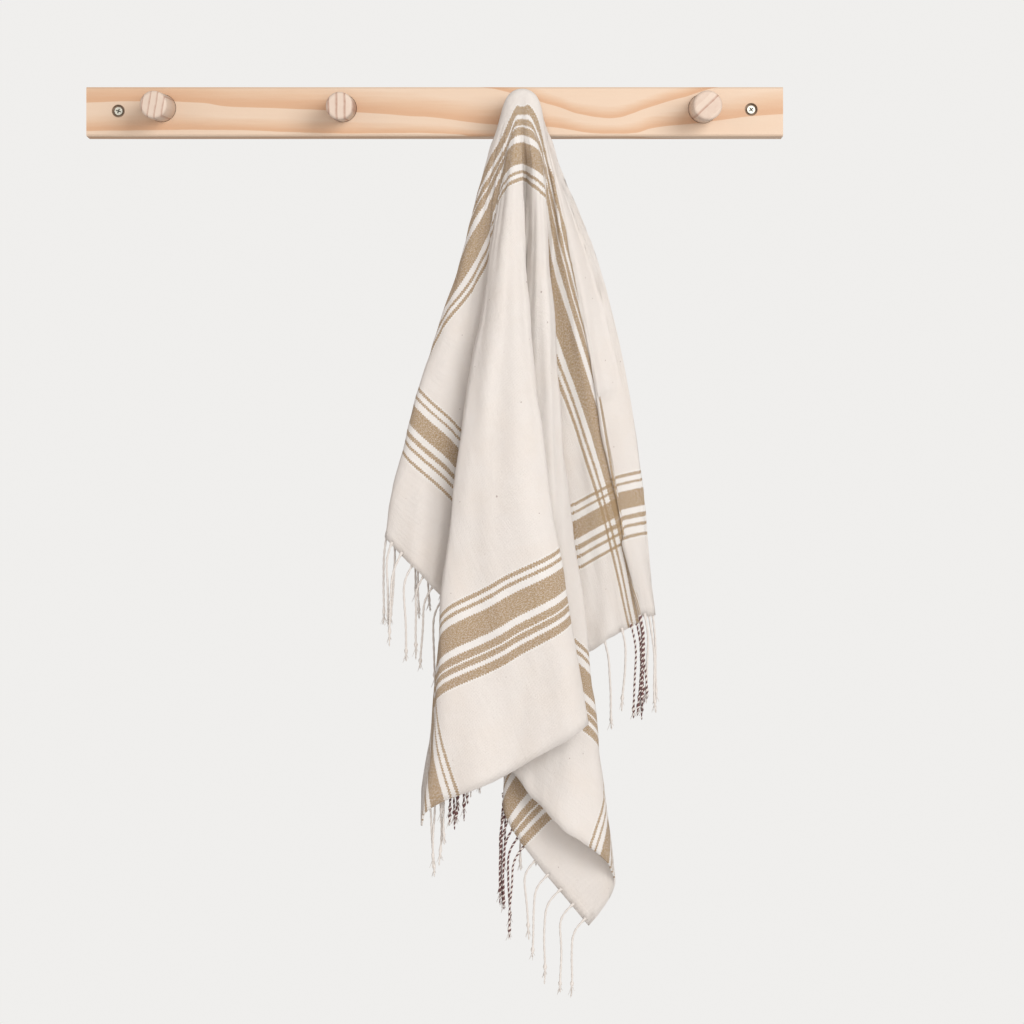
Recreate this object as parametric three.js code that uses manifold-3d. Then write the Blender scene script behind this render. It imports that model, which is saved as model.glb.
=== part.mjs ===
import * as THREE from "three";
import Module from "manifold-3d";
import { mergeVertices } from "three/addons/utils/BufferGeometryUtils.js";

// Hand towel on a peg hook rail. Millimetres, X to the right, Y into the wall, Z up.
// The origin is the centre of the rail's back face, which lies on the wall.

const wasm = await Module();
wasm.setup();
const { Manifold } = wasm;

// Rail
const railLength = 540;
const railHeight = 38;
const railDepth = 18;
const railEdge = 1.2;

// Pegs: where each stands on the rail, and how far its end leans right and down
const pegRadius = 11;
const pegProud = 38;
const pegSunk = 12;
const pegRim = 2.2;
const fitGap = 0.3;
const pegs = [
  { name: "peg_1", x: -211.2, z: 2.6, right: -2.4, down: 2.5, radius: 10.5 },
  { name: "peg_2", x: -71.1, z: 2.5, right: -0.5, down: 3.4, radius: 10.5 },
  { name: "peg_3", x: 67.6, z: -0.6, right: 0, down: 0, radius: 11 },
  { name: "peg_4", x: 207.9, z: 2.3, right: 1.2, down: 2.8, radius: 11.2 },
];

// Screws: cross-recessed heads standing in round recesses
const recessRadius = 4.8;
const recessDepth = 3;
const screwHead = 3.1;
const screwHeadThick = 1.8;
const screwShank = 1.9;
const screws = [
  { name: "screw_left", x: -245.2, z: 0.4, turn: 20 },
  { name: "screw_right", x: 245.3, z: 1.6, turn: 50 },
];

// Cloth, measured flat from the point that rests on the peg's tip
const clothThick = 1.6;
const leftReach = 333;
const rightReach = 413.8;
const frontReach = 472.4;
const backReach = 33.5;
const apex = new THREE.Vector3(67.6, -54, 11.7);
const foldApex = new THREE.Vector3(66.2, -54, 9.5);
const pegTurn = 66;
const sideTurnLength = 15;
const frontTurnLength = 10;
const blendFrom = 16;
const blendTo = 52;

// Folds, one row for each line that runs down from the peg. "at" is its bearing in the flat
// cloth, in degrees: 0 to the front selvedge, 90 to the right end. "lean" is its slant from
// plumb seen from the front, and "out" is how far it stands in front of the peg's tip, in mm,
// both at the distances in "along". "loop" is the width of a fold's bend, 0 for a soft one.
const along = [46, 76, 152, 305, 488];
const folds = [
  { at: -180, lean: [0, 0, 0, 0, 0], out: [-33, -34, -36, -38, -38], loop: 0 },
  { at: -140, lean: [-25, -22, -20, -14, -14], out: [-31, -34, -36, -38, -38], loop: 0 },
  { at: -115, lean: [-26, -22, -19, -14, -14], out: [-25, -30, -36, -42, -44], loop: 0 },
  { at: -97, lean: [-27, -22, -16.5, -15, -14], out: [-18, -24, -36, -44, -44], loop: 0 },
  { at: -82, lean: [-28.5, -21, -9, -5, -4.5], out: [-11, -17, -28, -36, -38], loop: 8 },
  { at: -70.5, lean: [-29, -23.4, -19.6, -18.2, -14.5], out: [-4, -8, -17, -24, -26], loop: 8 },
  { at: -60.5, lean: [-22, -18, -14, -10.8, -10.3], out: [1, -3, -10, -17, -18], loop: 0 },
  { at: -52, lean: [-17, -14.3, -9, -5.2, -4.2], out: [3, 0, -10, -26, -30], loop: 8 },
  { at: -43, lean: [-13, -12, -9, -7.4, -5.5], out: [4, 2, -3, -7, -8], loop: 6 },
  { at: -36, lean: [-12, -11, -9, -8.4, -7], out: [5, 3, -4, -13, -15], loop: 6 },
  { at: -29.5, lean: [-12.3, -10.5, -9.8, -9.6, -7.9], out: [6, 5, 5, 8, 10], loop: 5 },
  { at: -21, lean: [-6, -5.5, -4.5, -4, -0.5], out: [11, 12, 14, 17, 16], loop: 0 },
  { at: -12, lean: [1.2, 1.5, 1.8, 4.2, 5.8], out: [8, 9, 11, 14, 14], loop: 8 },
  { at: -3, lean: [1.2, 0.8, -3, -3.5, -2], out: [4, 2, 4, 7, 7], loop: 7 },
  { at: 7, lean: [4, 3, 1.2, 3.8, 3.6], out: [4, -5, -2, 1.5, 1.5], loop: 7 },
  { at: 16, lean: [7, 5, -1, -3.6, -3.2], out: [7, 0, -7, -6, -6], loop: 7 },
  { at: 24, lean: [11, 8.5, 4, 1.2, 0.4], out: [9, 9, -8, -18, -18], loop: 0, belly: 16 },
  { at: 30, lean: [15, 11.5, 7.5, 5, 3.2], out: [8, 9, 3, -8, -8], loop: 0, belly: 22 },
  { at: 37, lean: [18, 13.4, 8.9, 7, 7], out: [4, 2, -8, -20, -19], loop: 7 },
  { at: 50, lean: [17.5, 11, 2, -1.4, -1.4], out: [0, -4, -16, -27, -26], loop: 7 },
  { at: 58, lean: [20, 14.5, 8, 6.2, 6.2], out: [-3, -7, -21, -33, -33], loop: 7 },
  { at: 66, lean: [21.5, 15.5, 6, 1.2, 0.5], out: [-6, -13, -30, -41, -42], loop: 8 },
  { at: 73, lean: [23.5, 18.5, 10.3, 8, 7.5], out: [-8, -15, -29, -38, -40], loop: 0 },
  { at: 78, lean: [25, 20.5, 14, 11.6, 10], out: [-9, -13, -24, -34, -38], loop: 0 },
  { at: 83, lean: [26.5, 22, 16.8, 14.2, 12.6], out: [-13, -17, -25, -33, -36], loop: 5 },
  { at: 88, lean: [27.5, 23, 17, 13.6, 13], out: [-14, -16, -21, -28, -31], loop: 5 },
  { at: 96, lean: [29, 25.5, 22.5, 17.9, 14.2], out: [-20, -26, -34, -42, -43], loop: 0 },
  { at: 110, lean: [31.5, 28.2, 28, 27, 26], out: [-26, -30, -36, -42, -43], loop: 0 },
  { at: 140, lean: [34.6, 31, 30, 30, 30], out: [-32, -33, -35, -38, -40], loop: 0 },
  { at: 180, lean: [0, 0, 0, 0, 0], out: [-33, -34, -36, -38, -38], loop: 0 },
];
const bellyFrom = 500;
const bellyOver = 80;

// Cloth that hangs on the bias gives a little, and the left front corner is rucked up behind
const biasLeft = 0.027;
const biasRight = 0.028;
const ruck = 46;

// Fringe
const clothGap = 0.95;
const fringeBacking = 1.5;
const backingThick = 0.9;
const strandRadius = 1.15;
const strandLength = 68;
const plainSpacing = 14;
const bandSpacing = 8.6;
const bands = [
  { from: 9, to: 67 },
  { from: 338, to: 397 },
];

const rad = Math.PI / 180;

function smooth(t) {
  const k = Math.min(1, Math.max(0, t));
  return k * k * (3 - 2 * k);
}

// A smooth curve through values given at rising places, level beyond its last place
function through(places, values, place) {
  const last = places.length - 1;
  const p = Math.min(Math.max(place, places[0]), places[last]);
  let i = 0;
  while (i < last - 1 && p >= places[i + 1]) i += 1;
  const rise = (j) => (values[j + 1] - values[j]) / (places[j + 1] - places[j]);
  const slope = (j) => {
    if (j === 0) return rise(0);
    if (j === last) return 0;
    return (rise(j - 1) + rise(j)) / 2;
  };
  const h = places[i + 1] - places[i];
  const t = (p - places[i]) / h;
  return (
    (2 * t ** 3 - 3 * t ** 2 + 1) * values[i] +
    (t ** 3 - 2 * t ** 2 + t) * h * slope(i) +
    (3 * t ** 2 - 2 * t ** 3) * values[i + 1] +
    (t ** 3 - t ** 2) * h * slope(i + 1)
  );
}

// The cross-section of the folds at one distance from the peg: each fold's place and heading
const logAlong = along.map(Math.log);
const sectionStore = new Map();

function section(r) {
  const key = r.toFixed(3);
  if (sectionStore.has(key)) return sectionStore.get(key);
  const q = Math.log(Math.max(r, 20));
  const near = Math.min(1, r / along[0]);
  const belly = smooth((r - bellyFrom) / bellyOver);
  const points = folds.map((f) => {
    const lean = through(logAlong, f.lean, q) * rad;
    const out = through(logAlong, f.out, q) * near + belly * (f.belly || 0);
    const down = Math.sqrt(Math.max(r * r - out * out, 0.01));
    return new THREE.Vector2(down * Math.sin(lean), out);
  });
  const headings = points.map((p, i) => {
    const before = points[i > 0 ? i - 1 : 0];
    const after = points[i > 0 ? i : 1];
    const next = points[Math.min(i + 1, points.length - 1)];
    const into = after.clone().sub(before);
    const away = i < points.length - 1 ? next.clone().sub(p) : into.clone();
    return into.setLength(1).add(away.setLength(1)).setLength(1);
  });
  const made = { points, headings };
  sectionStore.set(key, made);
  return made;
}

function hangingReach(r, at) {
  const left = biasLeft * smooth((at + 50) / 9) * smooth((-10 - at) / 16);
  const right = biasRight * smooth((at - 18) / 8) * smooth((52 - at) / 16);
  const up = ruck * smooth((at + 46) / 7) * smooth((-30.5 - at) / 3) * smooth((r - 300) / 270);
  return r + r * (left + right) * smooth((r - 50) / 150) - up;
}

function hanging(r, at) {
  const { points, headings } = section(r);
  let i = 0;
  while (i < folds.length - 2 && at >= folds[i + 1].at) i += 1;
  const t = (at - folds[i].at) / (folds[i + 1].at - folds[i].at);
  const chord = points[i].distanceTo(points[i + 1]);
  const pull = (j) => (folds[j].loop > 0 ? Math.min(chord, 3.375 * folds[j].loop) : chord);
  const across = new THREE.Vector2()
    .addScaledVector(points[i], 2 * t ** 3 - 3 * t ** 2 + 1)
    .addScaledVector(headings[i], (t ** 3 - 2 * t ** 2 + t) * pull(i))
    .addScaledVector(points[i + 1], 3 * t ** 2 - 2 * t ** 3)
    .addScaledVector(headings[i + 1], (t ** 3 - t ** 2) * pull(i + 1));
  const reach = hangingReach(r, at);
  const down = Math.sqrt(Math.max(reach * reach - across.lengthSq(), 0));
  return new THREE.Vector3(across.x, -across.y, -down).add(foldApex);
}

// Over the peg the cloth bends down round its two sides and its front end
function overPeg(r, at) {
  const s = Math.sin(at * rad);
  const c = Math.cos(at * rad);
  const steps = 24;
  const h = r / steps;
  const p = apex.clone();
  for (let k = 0; k < steps; k += 1) {
    const q = (k + 0.5) * h;
    if (c >= 0) {
      const length = 1 / Math.hypot(s / sideTurnLength, c / frontTurnLength);
      const turn = Math.min(1, q / length) * (pegTurn + 16 * c * c) * rad;
      p.x += h * s * Math.cos(turn);
      p.y -= h * c * Math.cos(turn);
      p.z -= h * Math.sin(turn);
    } else {
      const turn = Math.min(1, (q * Math.abs(s)) / sideTurnLength) * pegTurn * rad;
      p.x += h * s * Math.cos(turn);
      p.y -= h * c;
      p.z -= h * Math.abs(s) * Math.sin(turn);
    }
  }
  return p;
}

function clothPoint(r, at) {
  const lying = smooth((150 - Math.abs(at)) / 35);
  const w = lying * smooth((r - blendFrom) / (blendTo - blendFrom));
  if (w <= 0) return overPeg(r, at);
  if (w >= 1) return hanging(r, at);
  return overPeg(r, at).lerp(hanging(r, at), w);
}

// The same point from its place in the flat cloth: u to the right end, v to the front selvedge
function clothAt(u, v) {
  return clothPoint(Math.hypot(u, v), Math.atan2(u, v) / rad);
}

function normalAt(u, v) {
  const e = 0.5;
  const du = clothAt(u + e, v).sub(clothAt(u - e, v));
  const dv = clothAt(u, v + e).sub(clothAt(u, v - e));
  return dv.cross(du).setLength(1);
}

function reachAt(at) {
  const s = Math.sin(at * rad);
  const c = Math.cos(at * rad);
  let reach = Infinity;
  if (s > 1e-9) reach = Math.min(reach, rightReach / s);
  if (s < -1e-9) reach = Math.min(reach, leftReach / -s);
  if (c > 1e-9) reach = Math.min(reach, frontReach / c);
  if (c < -1e-9) reach = Math.min(reach, backReach / -c);
  return reach;
}

// Bearings at which the cloth is sampled: close together in the bends, and one at each corner
const corners = [
  Math.atan2(-leftReach, frontReach) / rad,
  Math.atan2(rightReach, frontReach) / rad,
  Math.atan2(rightReach, -backReach) / rad,
  Math.atan2(-leftReach, -backReach) / rad,
];

function sampleBearings() {
  const list = [];
  for (let i = 0; i < folds.length - 1; i += 1) {
    const a = folds[i];
    const b = folds[i + 1];
    const bent = a.loop > 0 || b.loop > 0;
    const shares = bent ? [0, 0.1, 0.27, 0.73, 0.9] : [0, 0.33, 0.67];
    for (const share of shares) {
      list.push(a.at + (b.at - a.at) * share);
    }
  }
  const open = list.filter((at) => corners.every((corner) => Math.abs(corner - at) > 0.7));
  return open.concat(corners).sort((a, b) => a - b);
}

const bearings = sampleBearings();

// A closed body from points and triangles
function solid(points, triangles) {
  const geometry = new THREE.BufferGeometry();
  geometry.setAttribute("position", new THREE.Float32BufferAttribute(points.flatMap((p) => [p.x, p.y, p.z]), 3));
  geometry.setIndex(triangles.flat());
  return geometry;
}

function toManifold(geometry) {
  const plain = geometry.clone();
  plain.deleteAttribute("normal");
  plain.deleteAttribute("uv");
  const merged = mergeVertices(plain, 1e-4);
  return new Manifold(
    new wasm.Mesh({
      numProp: 3,
      vertProperties: new Float32Array(merged.attributes.position.array),
      triVerts: new Uint32Array(merged.index.array),
    }),
  );
}

function fromManifold(body) {
  const mesh = body.getMesh();
  const geometry = new THREE.BufferGeometry();
  geometry.setAttribute("position", new THREE.BufferAttribute(new Float32Array(mesh.vertProperties), 3));
  geometry.setIndex(new THREE.BufferAttribute(new Uint32Array(mesh.triVerts), 1));
  return geometry;
}

const group = new THREE.Group();

function add(name, geometry, color) {
  const shaded = geometry.clone();
  shaded.computeVertexNormals();
  const mesh = new THREE.Mesh(shaded, new THREE.MeshStandardMaterial({ color, roughness: 0.8 }));
  mesh.name = name;
  group.add(mesh);
}

// Towel: rings of points round the peg's tip, given thickness along their normals
const rings = 21;
const evenReach = 76;
const ringGrowth = 3.2;

function ringAt(reach, share) {
  const even = Math.min(reach, evenReach);
  return even * share + (reach - even) * share ** ringGrowth;
}

function towel() {
  const count = bearings.length;
  const flat = [[0, 0]];
  for (let j = 1; j <= rings; j += 1) {
    for (const at of bearings) {
      const r = ringAt(reachAt(at), j / rings);
      flat.push([r * Math.sin(at * rad), r * Math.cos(at * rad)]);
    }
  }
  const middle = flat.map(([u, v]) => clothAt(u, v));
  const normals = flat.map(([u, v]) => normalAt(u, v));
  const place = (j, i) => (j === 0 ? 0 : 1 + (j - 1) * count + ((i + count) % count));
  const faces = [];
  for (let j = 0; j < rings; j += 1) {
    for (let i = 0; i < count; i += 1) {
      if (j > 0) faces.push([place(j, i), place(j + 1, i), place(j, i + 1)]);
      faces.push([place(j, i + 1), place(j + 1, i), place(j + 1, i + 1)]);
    }
  }
  const half = clothThick / 2;
  const outer = middle.map((p, i) => p.clone().addScaledVector(normals[i], half));
  const inner = middle.map((p, i) => p.clone().addScaledVector(normals[i], -half));
  const shift = middle.length;
  const triangles = faces.concat(faces.map(([a, b, c]) => [a + shift, c + shift, b + shift]));
  for (let i = 0; i < count; i += 1) {
    const a = place(rings, i);
    const b = place(rings, i + 1);
    triangles.push([b, a, a + shift], [b, a + shift, b + shift]);
  }
  return solid(outer.concat(inner), triangles);
}

// Where the sampled bearings meet one end of the cloth
function endPlaces(side) {
  const end = side < 0 ? leftReach : rightReach;
  return bearings
    .filter((at) => Math.sign(at) === side && Math.abs(reachAt(at) * Math.sin(at * rad)) > end - 1e-6)
    .map((at) => end / Math.tan(Math.abs(at) * rad))
    .sort((a, b) => a - b);
}

// Fringe backing: a narrow strip that follows one end of the cloth
function backing(side) {
  const end = side < 0 ? leftReach : rightReach;
  const places = endPlaces(side);
  const near = places.map((v) => clothAt(side * (end + clothGap), v));
  const far = places.map((v) => clothAt(side * (end + clothGap + fringeBacking), v));
  const points = [];
  places.forEach((v, i) => {
    const normal = normalAt(side * end, v).multiplyScalar(backingThick / 2);
    points.push(near[i].clone().add(normal));
    points.push(near[i].clone().sub(normal));
    points.push(far[i].clone().sub(normal));
    points.push(far[i].clone().add(normal));
  });
  const triangles = [];
  for (let i = 0; i < places.length - 1; i += 1) {
    for (let k = 0; k < 4; k += 1) {
      const a = i * 4 + k;
      const b = i * 4 + ((k + 1) % 4);
      triangles.push([a, b, a + 4], [b, b + 4, a + 4]);
    }
  }
  const top = (places.length - 1) * 4;
  triangles.push([0, 2, 1], [0, 3, 2], [top, top + 1, top + 2], [top, top + 2, top + 3]);
  return solid(points, side > 0 ? triangles : triangles.map(([a, b, c]) => [a, c, b]));
}

// Strands: three-sided threads rooted in the backing, turning towards plumb
function strandPlaces() {
  const places = [];
  let v = -backReach + 5;
  while (v < frontReach - 4) {
    places.push(v);
    const inBand = bands.some((band) => v > band.from - 4 && v < band.to - 4);
    v += inBand ? bandSpacing : plainSpacing;
  }
  return places;
}

function strand(side, v, index) {
  const end = side < 0 ? leftReach : rightReach;
  const places = endPlaces(side);
  const next = places.findIndex((place) => place > v);
  const share = (v - places[next - 1]) / (places[next] - places[next - 1]);
  const inStrip = side * (end + clothGap + fringeBacking / 2);
  const root = clothAt(inStrip, places[next - 1]).lerp(clothAt(inStrip, places[next]), share);
  const heading = clothAt(side * (end + 4), v).sub(clothAt(side * end, v)).setLength(1);
  const plumb = new THREE.Vector3(0, 0, -1);
  const sway = 0.05 * Math.sin(index * 2.4);
  const length = strandLength * (1 + 0.1 * Math.sin(index * 1.7));
  const path = [root];
  const spans = [2, 0.2 * length, 0.8 * length];
  const turns = [0, 0.75, 1];
  for (let k = 0; k < spans.length; k += 1) {
    const way = heading.clone().lerp(plumb, turns[k]).setLength(1);
    way.x += k === 2 ? sway : 0;
    path.push(path[k].clone().addScaledVector(way, spans[k]));
  }
  const points = [];
  path.forEach((p, i) => {
    const radius = i === 0 ? 0.35 * strandRadius : strandRadius;
    for (let k = 0; k < 3; k += 1) {
      const a = k * 120 * rad;
      points.push(new THREE.Vector3(p.x + radius * Math.cos(a), p.y + radius * Math.sin(a), p.z));
    }
  });
  const triangles = [[0, 1, 2]];
  for (let i = 0; i < path.length - 1; i += 1) {
    for (let k = 0; k < 3; k += 1) {
      const a = i * 3 + k;
      const b = i * 3 + ((k + 1) % 3);
      triangles.push([a, a + 3, b], [b, a + 3, b + 3]);
    }
  }
  const tip = (path.length - 1) * 3;
  triangles.push([tip, tip + 2, tip + 1]);
  return solid(points, triangles);
}

function fringe(side) {
  const strands = strandPlaces().map((v, index) => toManifold(strand(side, v, index)));
  const whole = Manifold.union([toManifold(backing(side)), ...strands]);
  const shells = whole.decompose().filter((shell) => shell.volume() > 5);
  return fromManifold(Manifold.compose(shells));
}

// A round bar along Y from its front end, with a rounded rim, leaning as a peg does
function pegBody(peg, radius, rim, sunk) {
  const front = pegProud;
  const profile = [new THREE.Vector2(0, -sunk), new THREE.Vector2(radius, -sunk)];
  for (let k = 0; k <= 4; k += 1) {
    const a = (k / 4) * 90 * rad;
    profile.push(new THREE.Vector2(radius - rim + rim * Math.cos(a), front - rim + rim * Math.sin(a)));
  }
  profile.push(new THREE.Vector2(0, front));
  const geometry = new THREE.LatheGeometry(profile, 28);
  geometry.rotateX(180 * rad);
  geometry.rotateZ(Math.atan2(peg.right, pegProud));
  geometry.rotateX(Math.atan2(peg.down, pegProud));
  geometry.translate(peg.x, -railDepth, peg.z);
  return toManifold(geometry);
}

function bar(radius, from, to, x, z, sides) {
  const geometry = new THREE.CylinderGeometry(radius, radius, to - from, sides);
  geometry.translate(0, (from + to) / 2, 0);
  geometry.translate(x, 0, z);
  return toManifold(geometry);
}

function rail() {
  const h = railHeight / 2;
  const e = railEdge;
  const outline = new THREE.Shape([
    new THREE.Vector2(0, -h),
    new THREE.Vector2(0, h),
    new THREE.Vector2(-railDepth + e, h),
    new THREE.Vector2(-railDepth, h - e),
    new THREE.Vector2(-railDepth, -h + e),
    new THREE.Vector2(-railDepth + e, -h),
  ]);
  const geometry = new THREE.ExtrudeGeometry(outline, { depth: railLength, bevelEnabled: false });
  geometry.translate(0, 0, -railLength / 2);
  const toFrame = new THREE.Matrix4().set(0, 0, 1, 0, 1, 0, 0, 0, 0, 1, 0, 0, 0, 0, 0, 1);
  geometry.applyMatrix4(toFrame);
  let body = toManifold(geometry);
  for (const peg of pegs) {
    body = body.subtract(pegBody(peg, peg.radius + fitGap, 0.5, pegSunk + fitGap));
  }
  for (const screw of screws) {
    body = body.subtract(bar(recessRadius, -railDepth - 1, -railDepth + recessDepth, screw.x, screw.z, 24));
    body = body.subtract(bar(screwShank + fitGap, -railDepth, 1, screw.x, screw.z, 16));
  }
  return fromManifold(body);
}

function screwBody(screw) {
  const face = -railDepth + recessDepth - fitGap - screwHeadThick;
  const head = bar(screwHead, face, face + screwHeadThick, screw.x, screw.z, 24);
  const shank = bar(screwShank, face + 0.5, -1, screw.x, screw.z, 16);
  let body = head.add(shank);
  for (const turn of [screw.turn, screw.turn + 90]) {
    const slot = new THREE.BoxGeometry(3.6, 1.6, 0.8);
    slot.rotateY(turn * rad);
    slot.translate(screw.x, face, screw.z);
    body = body.subtract(toManifold(slot));
  }
  return fromManifold(body);
}

add("rail", rail(), 0xe6c9a8);
for (const peg of pegs) {
  add(peg.name, fromManifold(pegBody(peg, peg.radius, pegRim, pegSunk)), 0xe9cfae);
}
for (const screw of screws) {
  add(screw.name, screwBody(screw), 0xb8b8b8);
}
add("towel", towel(), 0xf0ebe4);
add("fringe_left", fringe(-1), 0xe8dfd6);
add("fringe_right", fringe(1), 0xe8dfd6);

export default group;
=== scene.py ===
import math

import bmesh
import bpy
import numpy as np
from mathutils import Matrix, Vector, noise


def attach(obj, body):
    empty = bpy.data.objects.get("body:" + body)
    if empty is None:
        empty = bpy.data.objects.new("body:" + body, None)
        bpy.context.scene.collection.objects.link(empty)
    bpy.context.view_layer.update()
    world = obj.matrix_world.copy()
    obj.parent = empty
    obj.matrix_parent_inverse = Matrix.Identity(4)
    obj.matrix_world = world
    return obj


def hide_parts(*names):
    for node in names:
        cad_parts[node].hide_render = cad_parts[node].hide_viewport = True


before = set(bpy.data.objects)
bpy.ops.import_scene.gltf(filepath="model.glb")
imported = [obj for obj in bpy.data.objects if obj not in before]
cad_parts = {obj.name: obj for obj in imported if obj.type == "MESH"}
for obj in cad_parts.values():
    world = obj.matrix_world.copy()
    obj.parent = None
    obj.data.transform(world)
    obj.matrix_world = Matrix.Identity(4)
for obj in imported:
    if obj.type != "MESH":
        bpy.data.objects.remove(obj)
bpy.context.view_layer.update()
print("frame loaded")

mm = 0.001

# camera first: level with the middle of the picture, a little right of the rail's centre
view = {"place": (0.0599, -2.218, -0.3104), "lens": 99.8, "sensor": 36.0}
cameraData = bpy.data.cameras.new("camera")
cameraData.lens = view["lens"]
cameraData.sensor_width = view["sensor"]
cameraData.clip_end = 60.0
cameraObject = bpy.data.objects.new("camera", cameraData)
cameraObject.location = view["place"]
cameraObject.rotation_euler = (math.radians(90), 0, 0)
bpy.context.scene.collection.objects.link(cameraObject)
bpy.context.scene.camera = cameraObject


# small helpers for shader trees
def wire(tree, socket, value):
    if isinstance(value, bpy.types.NodeSocket):
        tree.links.new(value, socket)
    else:
        socket.default_value = value


def calc(tree, operation, first, second=0.0, third=None, clamp=False):
    node = tree.nodes.new("ShaderNodeMath")
    node.operation = operation
    node.use_clamp = clamp
    wire(tree, node.inputs[0], first)
    wire(tree, node.inputs[1], second)
    if third is not None:
        wire(tree, node.inputs[2], third)
    return node.outputs[0]


def rampOf(tree, fac, stops):
    node = tree.nodes.new("ShaderNodeValToRGB")
    elements = node.color_ramp.elements
    elements[0].position, elements[0].color = stops[0][0], stops[0][1]
    elements[1].position, elements[1].color = stops[-1][0], stops[-1][1]
    for position, color in stops[1:-1]:
        elements.new(position).color = color
    wire(tree, node.inputs[0], fac)
    return node.outputs[0]


def blendColor(tree, fac, first, second):
    node = tree.nodes.new("ShaderNodeMix")
    node.data_type = "RGBA"
    wire(tree, node.inputs[0], fac)
    wire(tree, node.inputs[6], first)
    wire(tree, node.inputs[7], second)
    return node.outputs[2]


def noiseOf(tree, vector, scale, detail=2.0, roughness=0.5, stretch=(1, 1, 1)):
    place = tree.nodes.new("ShaderNodeMapping")
    place.inputs["Scale"].default_value = stretch
    wire(tree, place.inputs["Vector"], vector)
    node = tree.nodes.new("ShaderNodeTexNoise")
    node.inputs["Scale"].default_value = scale
    node.inputs["Detail"].default_value = detail
    node.inputs["Roughness"].default_value = roughness
    tree.links.new(place.outputs[0], node.inputs["Vector"])
    return node.outputs[0]


def splitVector(tree, vector):
    node = tree.nodes.new("ShaderNodeSeparateXYZ")
    wire(tree, node.inputs[0], vector)
    return node.outputs


def bumpOf(tree, height, distance, strength=1.0):
    node = tree.nodes.new("ShaderNodeBump")
    node.inputs["Strength"].default_value = strength
    node.inputs["Distance"].default_value = distance
    wire(tree, node.inputs["Height"], height)
    return node.outputs[0]


def newMaterial(name):
    material = bpy.data.materials.new(name)
    material.use_nodes = True
    tree = material.node_tree
    return material, tree, tree.nodes["Principled BSDF"]


def newGroup(name, inputs, outputs):
    group = bpy.data.node_groups.new(name, "ShaderNodeTree")
    for label, kind in inputs:
        group.interface.new_socket(name=label, in_out="INPUT", socket_type=kind)
    for label, kind in outputs:
        group.interface.new_socket(name=label, in_out="OUTPUT", socket_type=kind)
    return group, group.nodes.new("NodeGroupInput"), group.nodes.new("NodeGroupOutput")


def useGroup(tree, group, **values):
    node = tree.nodes.new("ShaderNodeGroup")
    node.node_tree = group
    for label, value in values.items():
        wire(tree, node.inputs[label], value)
    return node.outputs


def coordinate(tree, kind):
    return tree.nodes.new("ShaderNodeTexCoord").outputs[kind]


def newPiece(name, shape, material):
    mesh = bpy.data.meshes.new(name)
    shape.to_mesh(mesh)
    shape.free()
    mesh.materials.append(material)
    piece = bpy.data.objects.new(name, mesh)
    bpy.context.scene.collection.objects.link(piece)
    return piece


# yarn: the small tooth of woven or twisted cotton, for the towel and its fringe
def makeYarn():
    group, source, sink = newGroup(
        "yarn",
        [("Vector", "NodeSocketVector"), ("Pitch", "NodeSocketFloat")],
        [
            ("Height", "NodeSocketFloat"),
            ("Fleck", "NodeSocketFloat"),
            ("Across", "NodeSocketFloat"),
        ],
    )
    axes = splitVector(group, source.outputs["Vector"])
    turn = calc(group, "DIVIDE", math.tau, source.outputs["Pitch"])
    wobble = noiseOf(group, source.outputs["Vector"], 60.0, 2.0)
    shift = calc(group, "MULTIPLY", wobble, 6.0)
    waves = []
    for axis in (axes[0], axes[1]):
        phase = calc(group, "ADD", calc(group, "MULTIPLY", axis, turn), shift)
        waves.append(calc(group, "SINE", phase))
    product = calc(group, "MULTIPLY", waves[0], waves[1])
    rough = noiseOf(group, source.outputs["Vector"], 900.0, 3.0, 0.6)
    height = calc(group, "ADD", calc(group, "MULTIPLY", product, 0.35), rough)
    alongWarp = noiseOf(group, source.outputs["Vector"], 1050.0, 2.0, 0.7, (0.6, 1.4, 1))
    alongWeft = noiseOf(group, source.outputs["Vector"], 1050.0, 2.0, 0.7, (1.4, 0.6, 1))
    group.links.new(height, sink.inputs["Height"])
    group.links.new(alongWarp, sink.inputs["Fleck"])
    group.links.new(alongWeft, sink.inputs["Across"])
    return group


yarn = makeYarn()

# cloth: stripes are given as (from, to) in mm outwards from each band's inner edge
cloth = {
    "cream": (0.885, 0.85, 0.815, 1),
    "shade": (0.81, 0.76, 0.71, 1),
    "worn": (0.85, 0.785, 0.72, 1),
    "white": (0.94, 0.925, 0.90, 1),
    "tan": (0.46, 0.325, 0.175, 1),
    "brown": (0.37, 0.24, 0.155, 1),
    "warpCentre": 205.2,
    "warpHalf": 134.7,
    "warpStripes": [(0, 3.4), (6.1, 9.1), (14, 31), (35.8, 41.8), (42.8, 47.4), (50.2, 57)],
    "weftCentre": 40.4,
    "weftHalf": 262.9,
    "weftStripes": [(0, 2.8), (6.1, 8.4), (13, 26.8), (31.2, 35), (38.5, 41.2), (46.5, 49.2)],
    "nep": (0.36, 0.27, 0.25, 1),
    "pitch": 1.3,
    "drift": 1.2,
    "toothRun": 2.1,
    "tooth": 0.4,
}


def bandMask(tree, coordinateSocket, centre, half, stripes):
    reach = 60.0
    soft = 0.35
    distance = calc(tree, "ABSOLUTE", calc(tree, "SUBTRACT", coordinateSocket, centre * mm))
    fac = calc(tree, "DIVIDE", calc(tree, "SUBTRACT", distance, half * mm), reach * mm, clamp=True)
    stops = [(0.0, (0, 0, 0, 1))]
    for start, end in stripes:
        stops += [((start + 0.01) / reach, (0, 0, 0, 1)), ((start + soft) / reach, (1, 1, 1, 1))]
        stops += [((end - soft) / reach, (1, 1, 1, 1)), (end / reach, (0, 0, 0, 1))]
    stops.append((1.0, (0, 0, 0, 1)))
    return rampOf(tree, fac, stops)


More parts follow.
